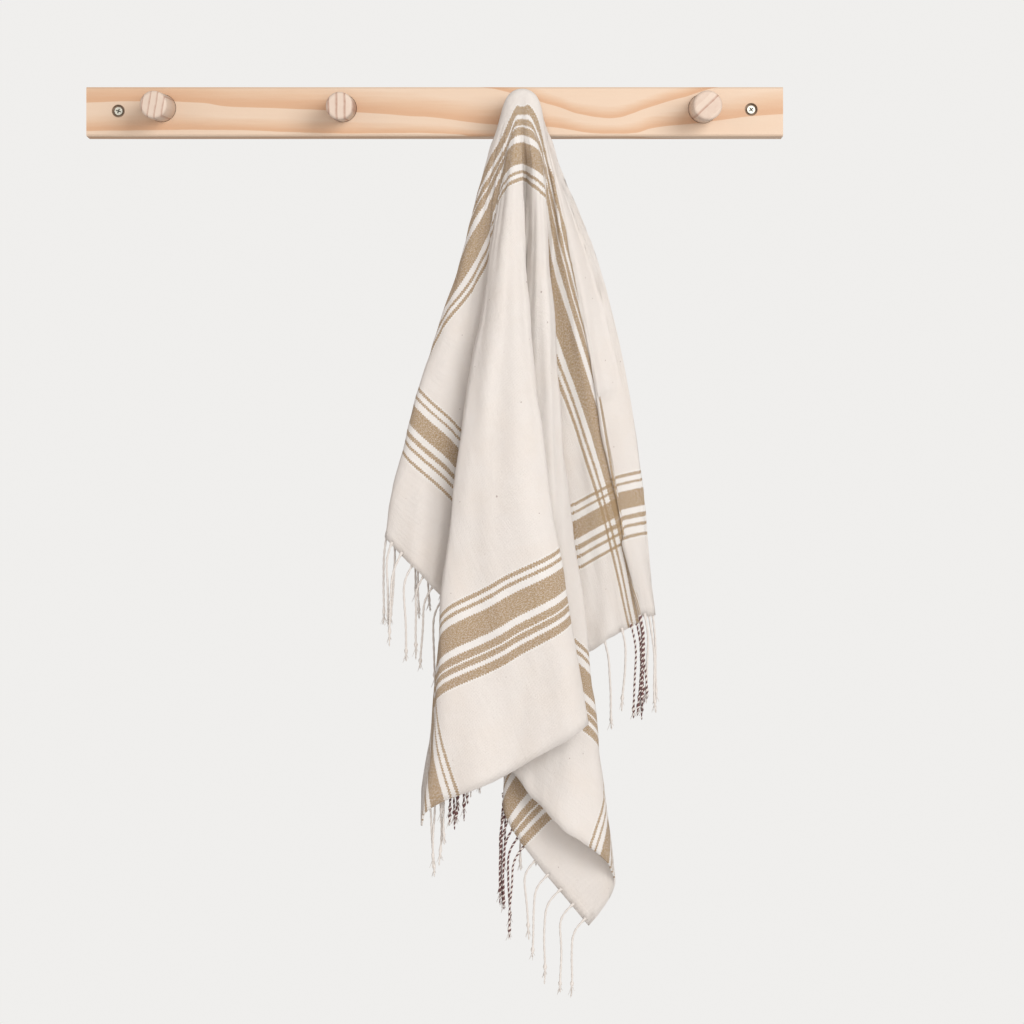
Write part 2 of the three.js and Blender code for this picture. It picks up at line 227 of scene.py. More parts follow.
def bandZone(tree, coordinateSocket, centre, half, width):
    distance = calc(tree, "ABSOLUTE", calc(tree, "SUBTRACT", coordinateSocket, centre * mm))
    return calc(tree, "COMPARE", distance, (half + width / 2) * mm, (width / 2 + 1) * mm)


def makeClothMaterial():
    material, tree, shader = newMaterial("stripedCotton")
    uv = coordinate(tree, "UV")
    axes = splitVector(tree, uv)
    drift = noiseOf(tree, uv, 300.0, 2.0)
    nudge = calc(tree, "MULTIPLY", calc(tree, "SUBTRACT", drift, 0.5), cloth["drift"] * mm)
    steps = []  # each stripe's edge steps in and out with the threads that cross it
    for own, other in ((0, 1), (1, 0)):
        phase = calc(tree, "MULTIPLY", axes[other], math.tau / (cloth["toothRun"] * mm))
        tooth = calc(tree, "MULTIPLY", calc(tree, "SINE", phase), cloth["tooth"] * mm)
        steps.append(calc(tree, "ADD", calc(tree, "ADD", axes[own], nudge), tooth))
    along, across = steps
    weave = useGroup(tree, yarn, Vector=uv, Pitch=cloth["pitch"] * mm)
    warp = bandMask(tree, across, cloth["warpCentre"], cloth["warpHalf"], cloth["warpStripes"])
    weft = bandMask(tree, along, cloth["weftCentre"], cloth["weftHalf"], cloth["weftStripes"])
    grey = calc(tree, "MULTIPLY", weave["Fleck"], 0.35)
    base = blendColor(tree, grey, cloth["cream"], cloth["shade"])
    clouds = noiseOf(tree, uv, 26.0, 4.0, 0.6)
    mottle = rampOf(tree, clouds, [(0.42, (0, 0, 0, 1)), (0.72, (1, 1, 1, 1))])
    base = blendColor(tree, calc(tree, "MULTIPLY", mottle, 0.5), base, cloth["worn"])
    # bleached threads lie between the stripes of each band
    bleached = calc(
        tree,
        "MAXIMUM",
        bandZone(tree, across, cloth["warpCentre"], cloth["warpHalf"], cloth["warpStripes"][-1][1]),
        bandZone(tree, along, cloth["weftCentre"], cloth["weftHalf"], cloth["weftStripes"][-1][1]),
    )
    base = blendColor(tree, calc(tree, "MULTIPLY", bleached, 0.75), base, cloth["white"])
    # a coloured thread shows between white ones, so each stripe is heathered along its own run
    heather = [(0.36, (0.52, 0.52, 0.52, 1)), (0.56, (1, 1, 1, 1))]
    warpHeather = rampOf(tree, weave["Fleck"], heather)
    weftHeather = rampOf(tree, weave["Across"], heather)
    patches = noiseOf(tree, uv, 22.0, 3.0)
    hue = blendColor(tree, patches, cloth["tan"], cloth["brown"])
    hue = blendColor(tree, 0.55, cloth["tan"], hue)
    color = blendColor(tree, calc(tree, "MULTIPLY", warp, warpHeather), base, hue)
    color = blendColor(tree, calc(tree, "MULTIPLY", weft, weftHeather), color, hue)
    specks = noiseOf(tree, uv, 290.0, 0.0)
    neps = rampOf(tree, specks, [(0.85, (0, 0, 0, 1)), (0.88, (0.6, 0.6, 0.6, 1))])
    color = blendColor(tree, neps, color, cloth["nep"])
    tree.links.new(color, shader.inputs["Base Color"])
    shader.inputs["Roughness"].default_value = 0.92
    shader.inputs["Sheen Weight"].default_value = 0.12
    shader.inputs["Sheen Roughness"].default_value = 0.5
    shader.inputs["Specular IOR Level"].default_value = 0.25
    # slubs are thicker stretches of yarn
    warpSlubs = noiseOf(tree, uv, 150.0, 2.0, 0.6, (0.12, 1, 1))
    weftSlubs = noiseOf(tree, uv, 150.0, 2.0, 0.6, (1, 0.12, 1))
    slubs = calc(tree, "ADD", warpSlubs, weftSlubs)
    height = calc(tree, "ADD", weave["Height"], calc(tree, "MULTIPLY", slubs, 1.4))
    tree.links.new(bumpOf(tree, height, 0.0008, 0.6), shader.inputs["Normal"])
    return material


clothMaterial = makeClothMaterial()
print("cloth material made")

# towel: a sheet laid over the peg's tip and gathered into folds, in mm
towel = {
    "leftReach": 333.0,
    "rightReach": 413.8,
    "frontReach": 472.4,
    "backReach": 33.5,
    "apex": (67.6, -54.0, 11.7),
    "foldApex": (66.2, -54.0, 9.5),
    "pegTurn": 66.0,
    "sideTurnLength": 15.0,
    "frontTurnLength": 7.5,
    "blend": (16.0, 52.0),
    "belly": (500.0, 80.0),
    "biasLeft": 0.027,
    "biasRight": 0.028,
    "ruck": 46.0,
    "along": [46.0, 76.0, 152.0, 305.0, 488.0],
    "thick": 1.3,
    "bendPull": 3.375,
    "backGap": 1.2,
    "columnsPerPanel": 17,
    "columnsPerBend": 3,
    "bendCrowd": 0.11,
    "rings": 86,
    "evenReach": 76.0,
    "ringGrowth": 1.5,
}

# one row a fold: bearing in the flat cloth; slant from plumb seen from the front at the five
# distances; how far it stands out at the same five; width of its bend; belly low down
foldRows = [
    (-180, (0, 0, 0, 0, 0), (-33, -34, -36, -38, -38), 0, 0),
    (-140, (-25, -22, -20, -14, -14), (-31, -34, -36, -38, -38), 0, 0),
    (-115, (-26, -22, -19, -14, -14), (-25, -30, -36, -42, -44), 0, 0),
    (-97, (-27, -22, -16.5, -15, -14), (-18, -24, -36, -44, -44), 0, 0),
    (-82, (-28.5, -21, -9, -5, -4.5), (-11, -17, -28, -36, -38), 8, 0),
    (-70.5, (-29, -23.4, -19.6, -18.2, -14.5), (-4, -8, -17, -24, -26), 8, 0),
    (-60.5, (-22, -18, -14, -10.8, -10.3), (1, -3, -10, -17, -18), 0, 0),
    (-52, (-17, -14.3, -9, -5.2, -4.2), (3, 0, -10, -26, -30), 8, 0),
    (-43, (-13, -12, -9, -7.4, -5.5), (4, 2, -3, -7, -8), 6, 0),
    (-36, (-12, -11, -9, -8.4, -7), (5, 3, -4, -13, -15), 6, 0),
    (-29.5, (-12.3, -10.5, -9.8, -9.6, -7.9), (6, 5, 5, 8, 10), 5, 0),
    (-21, (-6, -5.5, -4.5, -4, -0.5), (11, 12, 14, 17, 16), 0, 0),
    (-12, (1.2, 1.5, 1.8, 4.2, 5.8), (8, 9, 11, 14, 14), 8, 0),
    (-3, (1.2, 0.8, -3, -3.5, -2), (4, 2, 4, 7, 7), 7, 0),
    (7, (4, 3, 1.2, 3.8, 3.6), (4, -5, -2, 1.5, 1.5), 7, 0),
    (16, (7, 5, -1, -3.6, -3.2), (7, 0, -7, -6, -6), 7, 0),
    (24, (11, 8.5, 3.2, 0.8, 0.2), (9, 9, 1, -10, -12), 0, 16),
    (30, (15, 11.5, 7.5, 5, 3.2), (8, 9, 3, -8, -8), 0, 22),
    (37, (18, 13.4, 8.9, 7, 7), (4, 2, -8, -20, -19), 7, 0),
    (50, (17.5, 11, 2, -1.4, -1.4), (0, -4, -16, -27, -26), 7, 0),
    (58, (20, 14.5, 8, 6.2, 6.2), (-3, -7, -21, -33, -33), 7, 0),
    (66, (21.5, 15.5, 6, 1.2, 0.5), (-6, -13, -30, -41, -42), 8, 0),
    (73, (23.5, 18.5, 10.3, 8, 7.5), (-8, -15, -29, -38, -40), 0, 0),
    (78, (25, 20.5, 14, 11.6, 10), (-9, -13, -24, -34, -38), 0, 0),
    (83, (26.5, 22, 16.8, 14.2, 12.6), (-13, -17, -25, -33, -36), 5, 0),
    (88, (27.5, 23, 17, 13.6, 13), (-14, -17, -24, -32, -35), 5, 0),
    (96, (29, 25.5, 22.5, 17.9, 14.2), (-20, -26, -34, -42, -43), 0, 0),
    (110, (31.5, 28.2, 28, 27, 26), (-26, -30, -36, -42, -43), 0, 0),
    (140, (34.6, 31, 30, 30, 30), (-32, -33, -35, -38, -40), 0, 0),
    (180, (0, 0, 0, 0, 0), (-33, -34, -36, -38, -38), 0, 0),
]
foldAt = np.array([row[0] for row in foldRows], float)
foldLean = np.radians(np.array([row[1] for row in foldRows], float))
foldOut = np.array([row[2] for row in foldRows], float)
foldLoop = np.array([row[3] for row in foldRows], float)
foldBelly = np.array([row[4] for row in foldRows], float)


def smooth(t):
    k = np.clip(t, 0.0, 1.0)
    return k * k * (3 - 2 * k)


def through(places, values, place):  # a smooth curve through each row's values
    last = len(places) - 1
    p = min(max(place, places[0]), places[last])
    i = min(int(np.searchsorted(places, p, side="right")) - 1, last - 1)

    def rise(j):
        return (values[:, j + 1] - values[:, j]) / (places[j + 1] - places[j])

    def slope(j):
        if j == 0:
            return rise(0)
        if j == last:
            return values[:, 0] * 0
        return (rise(j - 1) + rise(j)) / 2

    h = places[i + 1] - places[i]
    t = (p - places[i]) / h
    near = (2 * t**3 - 3 * t**2 + 1) * values[:, i] + (t**3 - 2 * t**2 + t) * h * slope(i)
    return near + (3 * t**2 - 2 * t**3) * values[:, i + 1] + (t**3 - t**2) * h * slope(i + 1)


# the hanging folds' crossing points, worked out at even distances down the cloth
sectionStep = 2.0
sectionCount = 340


def makeSections():
    logs = np.log(np.array(towel["along"]))
    points, headings = [], []
    for k in range(sectionCount):
        r = max(k * sectionStep, 0.5)
        q = math.log(max(r, 20.0))
        near = min(1.0, r / towel["along"][0])
        belly = float(smooth((r - towel["belly"][0]) / towel["belly"][1]))
        lean = through(logs, foldLean, q)
        out = through(logs, foldOut, q) * near + belly * foldBelly
        down = np.sqrt(np.maximum(r * r - out * out, 0.01))
        p = np.stack([down * np.sin(lean), out], 1)
        step = np.diff(p, axis=0)
        step /= np.maximum(np.linalg.norm(step, axis=1, keepdims=True), 1e-9)
        into = np.concatenate([step[:1], step])
        away = np.concatenate([step, step[-1:]])
        heading = into + away
        heading /= np.maximum(np.linalg.norm(heading, axis=1, keepdims=True), 1e-9)
        points.append(p)
        headings.append(heading)
    return np.array(points), np.array(headings)


sectionPoints, sectionHeadings = makeSections()


# cloth on the bias gives a little, and one corner is rucked up behind
def hangingReach(r, at):
    left = towel["biasLeft"] * smooth((at + 50) / 9) * smooth((-10 - at) / 16)
    right = towel["biasRight"] * smooth((at - 18) / 8) * smooth((52 - at) / 16)
    ruck = towel["ruck"] * smooth((at + 46) / 7) * smooth((-30.5 - at) / 3)
    ruck = ruck * smooth((r - 300) / 270)
    return r + r * (left + right) * smooth((r - 50) / 150) - ruck


def hangingPoints(r, at):
    k = np.clip(r / sectionStep, 0, len(sectionPoints) - 2)
    low = k.astype(int)
    part = (k - low)[:, None]
    i = np.clip(np.searchsorted(foldAt, at, side="right") - 1, 0, len(foldAt) - 2)

    def pick(table, j):
        return table[low, j] * (1 - part) + table[low + 1, j] * part

    start, end = pick(sectionPoints, i), pick(sectionPoints, i + 1)
    t = ((at - foldAt[i]) / (foldAt[i + 1] - foldAt[i]))[:, None]
    chord = np.linalg.norm(end - start, axis=1)

    def pull(j):
        loop = foldLoop[j]
        return np.where(loop > 0, np.minimum(chord, towel["bendPull"] * loop), chord)[:, None]

    leaving = (t**3 - 2 * t**2 + t) * pull(i) * pick(sectionHeadings, i)
    arriving = (t**3 - t**2) * pull(i + 1) * pick(sectionHeadings, i + 1)
    place = (2 * t**3 - 3 * t**2 + 1) * start + leaving
    place += (3 * t**2 - 2 * t**3) * end + arriving
    reach = hangingReach(r, at)
    down = np.sqrt(np.maximum(reach * reach - (place**2).sum(1), 0))
    fold = towel["foldApex"]
    return np.stack([fold[0] + place[:, 0], fold[1] - place[:, 1], fold[2] - down], 1)


def overPeg(r, at):
    s, c = np.sin(np.radians(at)), np.cos(np.radians(at))
    steps = 24
    h = r / steps
    place = np.tile(np.array(towel["apex"], float), (len(r), 1))
    length = 1 / np.hypot(s / towel["sideTurnLength"], np.maximum(c, 0) / towel["frontTurnLength"])
    most = np.radians(towel["pegTurn"] + 16 * np.maximum(c, 0) ** 2)
    for k in range(steps):
        turn = np.minimum(1, (k + 0.5) * h / length) * most
        place[:, 0] += h * s * np.cos(turn)
        place[:, 1] -= h * c * np.where(c >= 0, np.cos(turn), 1)
        place[:, 2] -= h * np.where(c >= 0, 1, np.abs(s)) * np.sin(turn)
    return place


def clothPoints(u, v):
    r, at = np.hypot(u, v), np.degrees(np.arctan2(u, v))
    low, high = towel["blend"]
    w = (smooth((150 - np.abs(at)) / 35) * smooth((r - low) / (high - low)))[:, None]
    return overPeg(r, at) * (1 - w) + hangingPoints(r, at) * w


def reachAt(at):
    s, c = math.sin(math.radians(at)), math.cos(math.radians(at))
    reach = 1e9
    if s > 1e-9:
        reach = min(reach, towel["rightReach"] / s)
    if s < -1e-9:
        reach = min(reach, towel["leftReach"] / -s)
    if c > 1e-9:
        reach = min(reach, towel["frontReach"] / c)
    if c < -1e-9:
        reach = min(reach, towel["backReach"] / -c)
    return reach


def clothBearings():
    bearings = []
    for i in range(len(foldRows) - 1):
        bent = foldLoop[i] > 0 or foldLoop[i + 1] > 0
        count = towel["columnsPerPanel"] + (towel["columnsPerBend"] if bent else 0)
        for k in range(count):
            share = k / count
            if bent:
                share -= towel["bendCrowd"] * math.sin(math.tau * share)
            bearings.append(foldAt[i] + (foldAt[i + 1] - foldAt[i]) * share)
    bearings.append(180.0)
    ends = ((-1, towel["leftReach"]), (1, towel["rightReach"]))
    for side, reach in ends:
        for far in (towel["frontReach"], -towel["backReach"]):
            corner = math.degrees(math.atan2(side * reach, far))
            nearest = min(range(len(bearings)), key=lambda n: abs(bearings[n] - corner))
            bearings[nearest] = corner
    return np.array(bearings)


# how far the cloth lies off its folds: creases that run down from the peg, soft swells, small
# dents, and a rim that curls towards the hem
def wrinkle(u, v, r, at, reach):
    crease = noise.noise(Vector((at * 0.16, r * 0.007, 3.1))) * (0.8 + r / 150)
    crease += noise.noise(Vector((at * 0.42, r * 0.011, 7.7))) * (0.5 + r / 260)
    loose = float(smooth((r - 330) / 120))
    soft = noise.noise(Vector((u / 42, v / 42, 1.3))) * (1.5 + 1.2 * loose)
    fine = noise.noise(Vector((u / 12, v / 12, 5.2))) * 0.55
    rim = max(0.0, 1 - (reach - r) / 45) * float(smooth((r - 120) / 120))
    curl = noise.noise(Vector((u / 24, v / 24, 9.4))) * 1.6 * rim
    away = min(1.0, max(0.0, (r - 22) / 60))
    return (crease + soft + fine + curl) * away


# how much cloth is gathered up on the peg, which moves the stripes there
def gathered(r, at, v):
    side = smooth((-18 - at) / 30) * smooth((at + 125) / 30)
    most = 7.5 * smooth(r / 50) * (1 - 0.62 * smooth((r - 145) / 45))
    side *= most * (1 - smooth((r - 230) / 110))
    front = 1 - smooth((abs(at) - 10) / 26)
    front *= (3.4 - 0.13 * (v - 17)) * smooth(r / 12) * (1 - smooth((r - 74) / 60))
    return float(side + front)


def makeTowel():
    bearings = clothBearings()
    columns, rings = len(bearings) - 1, towel["rings"]
    sheet = bmesh.new()
    bmesh.ops.create_grid(sheet, x_segments=columns, y_segments=rings, size=0.5)
    flat = sheet.verts.layers.float_vector.new("flat")
    spots = []
    for vert in sheet.verts:
        column = round((vert.co.x + 0.5) * columns)
        share = vert.co.y + 0.5
        at = float(bearings[column])
        reach = reachAt(at)
        even = min(reach, towel["evenReach"])
        r = even * share + (reach - even) * share ** towel["ringGrowth"]
        s, c = math.sin(math.radians(at)), math.cos(math.radians(at))
        if reach > 60:  # the hems are a little ragged
            r += noise.noise(Vector((r * s / 16, r * c / 16, 2.2))) * 1.3 * share**8
        spots.append((r * s, r * c, r, at, reach))
        vert[flat] = (r * s * mm, (r * c - gathered(r, at, r * c)) * mm, 0)
    table = np.array(spots)
    u, v = table[:, 0], table[:, 1]
    middle = clothPoints(u, v)
    step = 0.6
    du = clothPoints(u + step, v) - clothPoints(u - step, v)
    dv = clothPoints(u, v + step) - clothPoints(u, v - step)
    normal = np.cross(dv, du)
    normal /= np.maximum(np.linalg.norm(normal, axis=1, keepdims=True), 1e-9)
    lift = np.array([wrinkle(*spot) for spot in spots])[:, None]
    place = (middle + normal * lift) * mm
    # the cloth stays in front of the rail's back face
    place[:, 1] = np.minimum(place[:, 1], -towel["backGap"] * mm)
    for vert, spot in zip(sheet.verts, place):
        vert.co = spot
    uvLayer = sheet.loops.layers.uv.new("flatCloth")
    for face in sheet.faces:
        for loop in face.loops:
            loop[uvLayer].uv = loop.vert[flat].xy
    bmesh.ops.remove_doubles(sheet, verts=sheet.verts, dist=0.000005)
    bmesh.ops.recalc_face_normals(sheet, faces=sheet.faces)
    for face in sheet.faces:
        face.smooth = True
    piece = newPiece("towelCloth", sheet, clothMaterial)
    thick = piece.modifiers.new("thickness", "SOLIDIFY")
    thick.thickness = towel["thick"] * mm
    thick.offset = 0.0
    return piece


towelPiece = makeTowel()
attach(towelPiece, "root")
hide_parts("towel")
print("towel made")

# fringe: two-ply strands with a knot and frayed ends, in mm
fringe = {
    "length": 68.0,
    "radius": 0.88,
    "plainSpacing": 14.0,
    "bandSpacing": 8.6,
    "bands": ((9, 67), (338, 397)),
    "knotAt": 0.86,
    "sides": 8,
    "girth": 6.4,
    "hairs": 5,
    "backGap": 2.0,
    "steps": 44,
    "twist": 5.5,
    "plyRun": 4.2,
    "pitch": 1.1,
    "white": (0.87, 0.83, 0.79, 1),
    "dark": (0.15, 0.065, 0.065, 1),
}


def makeFringeMaterial():
    material, tree, shader = newMaterial("fringeCotton")
    tone = tree.nodes.new("ShaderNodeAttribute")
    tone.attribute_name = "tone"
    uv = coordinate(tree, "UV")
    weave = useGroup(tree, yarn, Vector=uv, Pitch=fringe["pitch"] * mm)
    grey = calc(tree, "MULTIPLY", weave["Fleck"], 0.5)
    white = blendColor(tree, grey, fringe["white"], cloth["shade"])
    # a dark ply winds round a white one, and a strand's tone says how much of it shows
    axes = splitVector(tree, uv)
    around = calc(tree, "MULTIPLY", axes[0], math.tau / (fringe["girth"] * mm))
    run = calc(tree, "MULTIPLY", axes[1], math.tau / (fringe["plyRun"] * mm))
    ply = calc(tree, "SINE", calc(tree, "ADD", around, run))
    level = calc(tree, "SUBTRACT", calc(tree, "MULTIPLY", tone.outputs["Fac"], 1.65), 1.0)
    mixed = calc(tree, "MULTIPLY", calc(tree, "ADD", ply, level), 6.0, clamp=True)
    fleck = calc(tree, "ADD", calc(tree, "MULTIPLY", weave["Fleck"], 0.4), 0.78)
    mixed = calc(tree, "MULTIPLY", mixed, fleck, clamp=True)
    color = blendColor(tree, mixed, white, fringe["dark"])
    tree.links.new(color, shader.inputs["Base Color"])
    shader.inputs["Roughness"].default_value = 0.9
    shader.inputs["Specular IOR Level"].default_value = 0.25
    tree.links.new(bumpOf(tree, weave["Height"], 0.0004, 0.6), shader.inputs["Normal"])
    return material


fringeMaterial = makeFringeMaterial()


# each strand's place along the end, and its tone: strands are closer and dark at the stripes
def strandPlaces(side):
    places = []
    v = -towel["backReach"] + 5
    while v < towel["frontReach"] - 4:
        band = any(low - 4 < v < high - 4 for low, high in fringe["bands"])
        dark = any(low - 1 < v < high + 1 for low, high in fringe["bands"])
        margin = any(min(abs(v - low), abs(v - high)) < 8 for low, high in fringe["bands"])
        places.append((v, 0.0 if not dark else 0.62 if margin else 1.0))
        sparse = side > 0 and 72 < v < 180
        v += fringe["bandSpacing"] if band else fringe["plainSpacing"] * (2 if sparse else 1)
    return places


def strandPath(side, v, index):
    end = towel["leftReach"] if side < 0 else towel["rightReach"]
    us = np.array([side * (end - 2.5), side * (end + 1.5), side * end, side * (end + 4)])
    points = clothPoints(us, np.full(4, v))
    heading = points[3] - points[2]
    heading /= np.linalg.norm(heading)
    plumb = np.array([0, 0, -1.0])
    length = fringe["length"] * (1 + 0.1 * math.sin(index * 1.7))
    sway = 0.05 * math.sin(index * 2.4)
    path = [points[0]]
    place = points[1].copy()
    path.append(place.copy())
    steps = fringe["steps"]
    h = length / steps
    for k in range(steps):
        s = (k + 0.5) / steps
        turn = float(smooth(s / 0.34))
        way = heading * (1 - turn) + plumb * turn
        way /= np.linalg.norm(way)
        bend = noise.noise(Vector((s * 2.3, index * 3.7, side * 5.0))) * 0.16
        way[0] += (sway + bend) * min(1, s * 3)
        way[1] += 0.4 * bend * min(1, s * 3)
        place = place + way * h
        path.append(place.copy())
    path = np.array(path)
    path[:, 1] = np.minimum(path[:, 1], -fringe["backGap"])
    return path


def tube(mesh, layer, uvLayer, path, radii, tone, turns, lobes):
    sides = fringe["sides"] if lobes else 4
    count = len(path) - 1
    made = bmesh.ops.create_grid(mesh, x_segments=sides, y_segments=count, size=0.5)
    verts = made["verts"]
    tangent = np.gradient(path, axis=0)
    tangent /= np.maximum(np.linalg.norm(tangent, axis=1, keepdims=True), 1e-9)
    side = np.cross(tangent, np.array([0.0, 1.0, 0.0]))
    side /= np.maximum(np.linalg.norm(side, axis=1, keepdims=True), 1e-9)
    up = np.cross(side, tangent)
    run = np.concatenate([[0.0], np.cumsum(np.linalg.norm(np.diff(path, axis=0), axis=1))])
    corners = {}
    for vert in verts:
        i = round((vert.co.x + 0.5) * sides)
        j = round((vert.co.y + 0.5) * count)
        angle = math.tau * (i % sides) / sides
        twist = turns * math.tau * j / count
        reach = radii[j] * (0.66 + 0.34 * abs(math.cos(angle - twist)) if lobes else 1)
        vert.co = (path[j] + reach * (math.cos(angle) * side[j] + math.sin(angle) * up[j])) * mm
        vert[layer] = tone
        corners[vert] = (i * fringe["girth"] * mm / sides, float(run[j]) * mm if lobes else 0)
    faces = {face for vert in verts for face in vert.link_faces}
    for face in faces:
        face.smooth = True
        for loop in face.loops:
            loop[uvLayer].uv = corners[loop.vert]
    bmesh.ops.remove_doubles(mesh, verts=verts, dist=0.0000005)


def makeFringe(side, name):
    threads = bmesh.new()
    layer = threads.verts.layers.float.new("tone")
    uvLayer = threads.loops.layers.uv.new("yarn")
    for index, (v, tone) in enumerate(strandPlaces(side)):
        path = strandPath(side, v, index)
        count = len(path)
        share = np.linspace(0, 1, count)
        knot = fringe["knotAt"] + 0.04 * math.sin(index * 2.9)
        radii = fringe["radius"] * (1 + 0.85 * np.exp(-(((share - knot) / 0.022) ** 2)))
        radii *= 1 + 0.5 * np.exp(-((share / 0.03) ** 2))
        radii[share > knot + 0.04] *= 0.75
        radii[-1] = 0.1
        tube(threads, layer, uvLayer, path, radii, tone, fringe["twist"], True)
        first = int(count * (knot + 0.01))
        for hair in range(fringe["hairs"]):
            angle = hair * 1.6 + index
            spread = np.linspace(0, 1, 7)[:, None]
            reach = 6 + 2 * math.sin(index + hair)
            way = np.array([0.26 * math.cos(angle), 0.2 * math.sin(angle), -1.0])
            strand = path[min(first, count - 1)] + spread * reach * way
            strand[:, 0] += 0.9 * math.cos(angle) * spread[:, 0] ** 2
            tube(threads, layer, uvLayer, strand, np.linspace(0.34, 0.12, 7), tone, 0, False)
    bmesh.ops.recalc_face_normals(threads, faces=threads.faces)
    return newPiece(name, threads, fringeMaterial)


fringeLeft = makeFringe(-1, "fringeLeft")
fringeRight = makeFringe(1, "fringeRight")
for piece, node in ((fringeLeft, "fringe_left"), (fringeRight, "fringe_right")):
    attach(piece, "root")
    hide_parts(node)
print("fringe made")

# wood: growth rings cut along the board, for the rail and the pegs
wood = {
    "pale": (0.80, 0.635, 0.49, 1),
    "mid": (0.745, 0.525, 0.36, 1),
    "band": (0.69, 0.425, 0.26, 1),
    "screwDark": (0.30, 0.20, 0.13, 1),
}


def makeWoodGroup():
    group, source, sink = newGroup(
        "pineGrain",
        [("Level", "NodeSocketFloat"), ("Vector", "NodeSocketVector")],
        [("Color", "NodeSocketColor"), ("Height", "NodeSocketFloat")],
    )
    pale, mid, band = wood["pale"], wood["mid"], wood["band"]
    streak = noiseOf(group, source.outputs["Vector"], 420.0, 4.0, 0.65)
    spread = calc(group, "MULTIPLY", calc(group, "SUBTRACT", streak, 0.5), 0.24)
    nudged = calc(group, "ADD", source.outputs["Level"], spread)
    stops = [(0.0, pale), (0.42, pale), (0.68, mid), (0.9, band), (1.0, band)]
    color = rampOf(group, nudged, stops)
    color = blendColor(group, calc(group, "MULTIPLY", streak, 0.22), color, wood["band"])
    group.links.new(color, sink.inputs["Color"])
    group.links.new(streak, sink.inputs["Height"])
    return group


pineGrain = makeWoodGroup()

# rail, in mm: three ring edges cross the board's face, each as (x, z), and the middle one dips
# in an arch
rail = {
    "half": 270,
    "span": 50,
    "front": 18,
    "high": (
        (-270, 40), (-60, 32), (40, 19), (61, 14.3), (82, 8), (97, 3.5), (111, -1.6), (129, -4.4),
        (140, -4.5), (152, -1.6), (164, 2.8), (178, 7.3), (193, 11.2), (205, 15.3), (217, 19),
        (270, 33),
    ),
    "middle": (
        (-270, 7.1), (-180, 7), (-165, 4.8), (-119, 2.8), (-61, -0.3), (-26, -2.6), (4, -5),
        (36, -9.2), (88, -11.4), (104, -13.7), (118, -16.2), (137, -16.8), (155, -16.2),
        (168, -12.7), (200, -9.1), (218, -6.6), (253, -2.9), (270, -1.6),
    ),
    "low": (
        (-270, -15.8), (-178, -14.8), (-119, -16.1), (-86, -17.4), (20, -18.4), (60, -24),
        (90, -38), (270, -40),
    ),
    "drift": 1.6,
    "slope": 0.6,
    "fade": 15,
    "edge": 0.8,
    "screws": ((-245.2, 0.4), (245.3, 1.6)),
    "darkReach": 5.3,
    "darkEdge": 0.5,
}


def ringEdge(tree, x, points):
    node = tree.nodes.new("ShaderNodeFloatCurve")
    curve = node.mapping.curves[0]
    half, span = rail["half"], rail["span"]
    places = [((px + half) / (2 * half), (pz + span) / (2 * span)) for px, pz in points]
    curve.points[0].location = places[0]
    curve.points[1].location = places[-1]
    for place in places[1:-1]:
        curve.points.new(*place)
    node.mapping.update()
    share = calc(tree, "DIVIDE", calc(tree, "ADD", x, half * mm), 2 * half * mm)
    wire(tree, node.inputs["Value"], share)
    return calc(tree, "MULTIPLY", calc(tree, "SUBTRACT", node.outputs[0], 0.5), 2 * span * mm)


